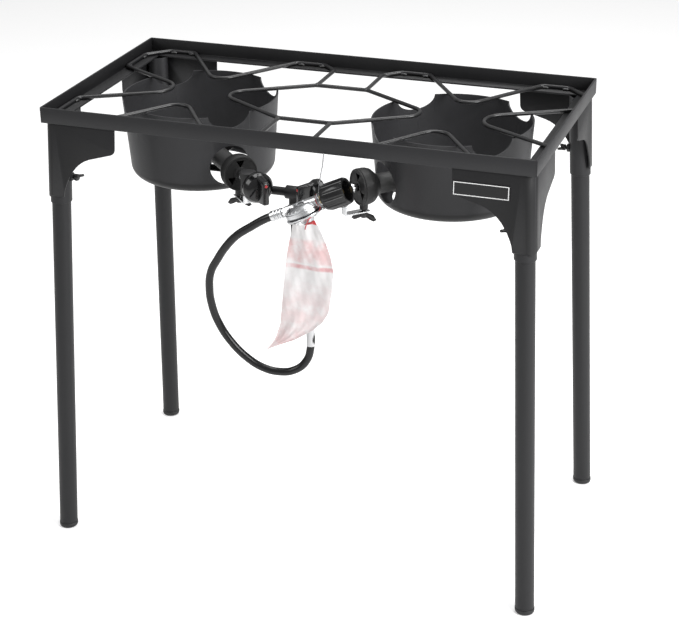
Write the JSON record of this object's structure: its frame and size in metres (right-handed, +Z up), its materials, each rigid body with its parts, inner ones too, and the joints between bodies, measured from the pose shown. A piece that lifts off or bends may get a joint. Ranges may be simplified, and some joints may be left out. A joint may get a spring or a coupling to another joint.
{
  "type": "propane burner stand",
  "caption": "Propane burner stand: angle-iron frame with bent grate rods over windshields and cast burners, clamped legs, gas valves, hose and regulator.",
  "frame": {"origin": "on the floor, under the middle of the four feet", "axes": "+X to the right seen from the knob side, -Y towards the knobs, +Z up"},
  "size_m": [0.8302, 0.4848, 0.745],
  "materials": {
    "frame_powder_coat": "satin black powder coat",
    "bracket_powder_coat": "satin black powder coat",
    "socket_powder_coat": "satin black powder coat",
    "leg_powder_coat": "satin black powder coat",
    "windshield_powder_coat": "satin black powder coat",
    "grate_rod": "black coated steel rod",
    "bolt_black_steel": "black coated steel",
    "foot_plastic": "moulded black plastic",
    "burner_cast_iron": "dark cast iron",
    "shutter_steel": "black stamped steel",
    "spud_plated": "plated turned fitting",
    "fitting_brass": "turned brass",
    "bracket_zinc": "bright zinc plated steel strip",
    "valve_black": "black valve body",
    "knob_plastic": "glossy black plastic",
    "coupling_plastic": "black plastic hand nut",
    "screw_plastic": "black plastic wing screw",
    "pipe_black": "black coated pipe",
    "regulator_zinc": "die-cast zinc",
    "adjuster_red": "red plastic",
    "ferrule_zinc": "crimped ferrule",
    "hose_rubber": "smooth black rubber",
    "tie_wire": "thin wire",
    "tag_film": "thin translucent film with a blank card",
    "name_plate_paint": "black plate with a plain pale border"
  },
  "bodies": {
    "stand": {"rail_front": "frame_powder_coat", "rail_right": "frame_powder_coat", "rail_back": "frame_powder_coat", "rail_left": "frame_powder_coat", "grate_loop_middle": "grate_rod", "grate_run_right": "grate_rod", "grate_run_left": "grate_rod", "bracket_fl": "bracket_powder_coat", "socket_fl": "socket_powder_coat", "bracket_fr": "bracket_powder_coat", "socket_fr": "socket_powder_coat", "bracket_bl": "bracket_powder_coat", "socket_bl": "socket_powder_coat", "bracket_br": "bracket_powder_coat", "socket_br": "socket_powder_coat", "name_plate": "name_plate_paint", "windshield_left": "windshield_powder_coat", "burner_left": "burner_cast_iron", "burner_strap_left": "frame_powder_coat", "spud_left": "spud_plated", "valve_left": "valve_black", "valve_bracket_left": "bracket_zinc", "windshield_right": "windshield_powder_coat", "burner_right": "burner_cast_iron", "burner_strap_right": "frame_powder_coat", "spud_right": "spud_plated", "valve_right": "valve_black", "valve_bracket_right": "bracket_zinc", "manifold_pipe": "pipe_black", "inlet_tee": "pipe_black", "regulator_body": "regulator_zinc", "regulator_bonnet": "regulator_zinc", "inlet_nipple": "fitting_brass", "ferrule_regulator": "ferrule_zinc", "ferrule_inlet": "ferrule_zinc", "hose": "hose_rubber", "wire_tie": "tie_wire", "tag_bag": "tag_film"},
    "leg_fl": {"leg_fl": "leg_powder_coat", "foot_cap_fl": "foot_plastic"},
    "wing_bolt_fl": {"wing_bolt_fl": "bolt_black_steel"},
    "leg_fr": {"leg_fr": "leg_powder_coat", "foot_cap_fr": "foot_plastic"},
    "wing_bolt_fr": {"wing_bolt_fr": "bolt_black_steel"},
    "leg_bl": {"leg_bl": "leg_powder_coat", "foot_cap_bl": "foot_plastic"},
    "wing_bolt_bl": {"wing_bolt_bl": "bolt_black_steel"},
    "leg_br": {"leg_br": "leg_powder_coat", "foot_cap_br": "foot_plastic"},
    "wing_bolt_br": {"wing_bolt_br": "bolt_black_steel"},
    "knob_left": {"knob_left": "knob_plastic"},
    "air_shutter_left": {"air_shutter_left": "shutter_steel"},
    "wing_screw_left": {"wing_screw_left": "screw_plastic"},
    "knob_right": {"knob_right": "knob_plastic"},
    "air_shutter_right": {"air_shutter_right": "shutter_steel"},
    "wing_screw_right": {"wing_screw_right": "screw_plastic"},
    "coupling_nut": {"coupling_nut": "coupling_plastic"},
    "regulator_adjuster": {"regulator_adjuster": "adjuster_red"}
  },
  "joints": [
    {"name": "leg_slide_fl", "type": "slide", "parent": "stand", "child": "leg_fl", "axis": [0.0436, 0.0436, 0.9981], "range_m": [-0.1, 0]},
    {"name": "wing_bolt_turn_fl", "type": "hinge", "parent": "stand", "child": "wing_bolt_fl", "pos_m": [-0.35233, -0.18183, 0.63], "axis": [1, 0, 0], "continuous": true},
    {"name": "leg_slide_fr", "type": "slide", "parent": "stand", "child": "leg_fr", "axis": [-0.0436, 0.0436, 0.9981], "range_m": [-0.1, 0]},
    {"name": "wing_bolt_turn_fr", "type": "hinge", "parent": "stand", "child": "wing_bolt_fr", "pos_m": [0.35233, -0.18183, 0.63], "axis": [1, 0, 0], "continuous": true},
    {"name": "leg_slide_bl", "type": "slide", "parent": "stand", "child": "leg_bl", "axis": [0.0436, -0.0436, 0.9981], "range_m": [-0.1, 0]},
    {"name": "wing_bolt_turn_bl", "type": "hinge", "parent": "stand", "child": "wing_bolt_bl", "pos_m": [-0.35233, 0.18183, 0.63], "axis": [1, 0, 0], "continuous": true},
    {"name": "leg_slide_br", "type": "slide", "parent": "stand", "child": "leg_br", "axis": [-0.0436, -0.0436, 0.9981], "range_m": [-0.1, 0]},
    {"name": "wing_bolt_turn_br", "type": "hinge", "parent": "stand", "child": "wing_bolt_br", "pos_m": [0.35233, 0.18183, 0.63], "axis": [1, 0, 0], "continuous": true},
    {"name": "knob_turn_left", "type": "hinge", "parent": "stand", "child": "knob_left", "pos_m": [-0.21, 0, 0.64], "axis": [0.7071, -0.7071, 0], "range_deg": [0, 270]},
    {"name": "air_shutter_turn_left", "type": "hinge", "parent": "stand", "child": "air_shutter_left", "pos_m": [-0.21, 0, 0.64], "axis": [0.7071, -0.7071, 0], "range_deg": [0, 60]},
    {"name": "wing_screw_turn_left", "type": "hinge", "parent": "stand", "child": "wing_screw_left", "pos_m": [-0.10252, -0.10748, 0.6], "axis": [0, 0, 1], "continuous": true},
    {"name": "knob_turn_right", "type": "hinge", "parent": "stand", "child": "knob_right", "pos_m": [0.21, 0, 0.64], "axis": [-0.7071, -0.7071, 0], "range_deg": [0, 270]},
    {"name": "air_shutter_turn_right", "type": "hinge", "parent": "stand", "child": "air_shutter_right", "pos_m": [0.21, 0, 0.64], "axis": [-0.7071, -0.7071, 0], "range_deg": [0, 60]},
    {"name": "wing_screw_turn_right", "type": "hinge", "parent": "stand", "child": "wing_screw_right", "pos_m": [0.10252, -0.10748, 0.6], "axis": [0, 0, 1], "continuous": true},
    {"name": "coupling_nut_turn", "type": "hinge", "parent": "stand", "child": "coupling_nut", "pos_m": [0.047, -0.227, 0.646], "axis": [0.9063, 0, 0.4226], "continuous": true},
    {"name": "regulator_adjuster_turn", "type": "hinge", "parent": "stand", "child": "regulator_adjuster", "pos_m": [0.047, -0.227, 0.646], "axis": [-0.4226, 0, 0.9063], "continuous": true}
  ]
}
